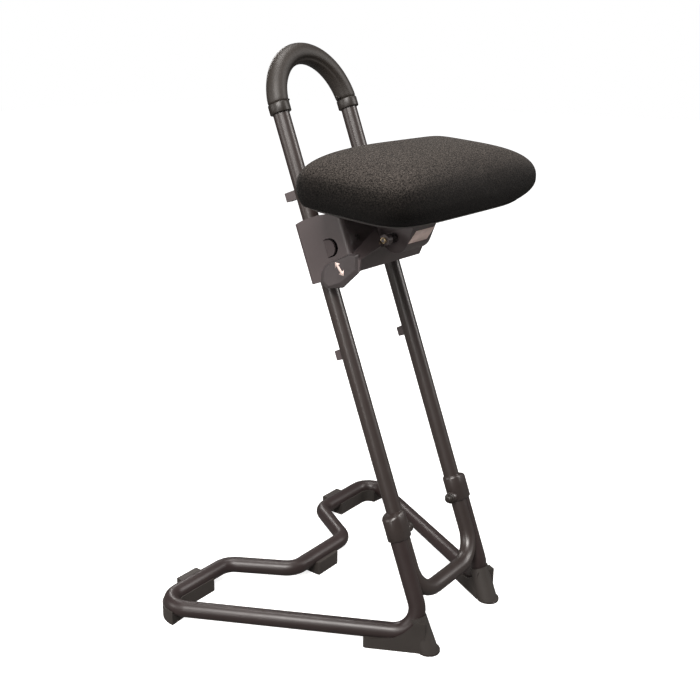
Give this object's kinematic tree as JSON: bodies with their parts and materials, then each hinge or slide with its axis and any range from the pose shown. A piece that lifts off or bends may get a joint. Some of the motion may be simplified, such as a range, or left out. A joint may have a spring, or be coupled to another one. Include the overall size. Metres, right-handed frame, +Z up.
{
  "type": "perch stool",
  "caption": "Sit-stand perch stool: leaning tube loop with handle on a splayed notched base, saddle cushion on a sliding carriage with a tilt lever.",
  "frame": {"origin": "middle of the floor outline, at floor level", "axes": "+Z up, -Y the way the sitter faces, +X to the sitter's left"},
  "size_m": [0.6272, 0.4623, 0.9412],
  "materials": {
    "loop_tube": "satin",
    "base_tube": "satin",
    "sleeve": "satin",
    "rubber_foot": "matte",
    "grip_foam": "matte",
    "collar": "satin",
    "steel_black": "satin",
    "zinc": "satin",
    "brass": "satin",
    "friction": "satin",
    "guide": "matte",
    "brake": "matte",
    "lever_plastic": "satin",
    "pan": "matte",
    "plywood": "matte",
    "knit": "matte",
    "label": "matte"
  },
  "bodies": {
    "frame": {"loop_frame": "loop_tube", "base_frame": "base_tube", "sleeve_right": "sleeve", "sleeve_left": "sleeve", "clamp_bolts": "zinc", "clamp_nuts": "steel_black", "handle_grip": "grip_foam", "grip_collars": "collar", "upper_stop_pegs": "steel_black", "lower_stop_pegs": "steel_black", "front_foot_right": "rubber_foot", "front_foot_left": "rubber_foot", "rear_pad_right": "rubber_foot", "rear_pad_left": "rubber_foot", "rear_pad_centre": "rubber_foot"},
    "carriage": {"carriage_bracket": "steel_black", "upper_guide_blocks": "guide", "lower_guide_blocks": "guide", "brake_pads": "brake", "brake_plate": "zinc", "brake_screws": "zinc", "tilt_bracket": "steel_black", "bracket_bolts": "zinc", "pivot_shaft": "zinc", "friction_plates": "friction", "lever_spring": "zinc"},
    "lever": {"release_lever": "steel_black", "lever_paddle": "lever_plastic", "shaft_ring": "brass"},
    "seat": {"tilt_housing": "steel_black", "housing_screws": "zinc", "seat_pan": "pan", "seat_insert": "plywood", "seat_cushion": "knit", "blank_label": "label"}
  },
  "joints": [
    {"name": "height_slide", "type": "slide", "parent": "frame", "child": "carriage", "axis": [0, 0.3567, 0.9342], "range_m": [-0.1115, 0.0355]},
    {"name": "seat_tilt", "type": "hinge", "parent": "carriage", "child": "seat", "pos_m": [0, -0.081, 0.652], "axis": [1, 0, 0], "range_deg": [-4, 8]},
    {"name": "lever_lift", "type": "hinge", "parent": "carriage", "child": "lever", "pos_m": [0, -0.081, 0.652], "axis": [1, 0, 0], "range_deg": [0, 18], "stiffness_Nm_per_rad": 0.3, "springref_deg": -22.92}
  ]
}
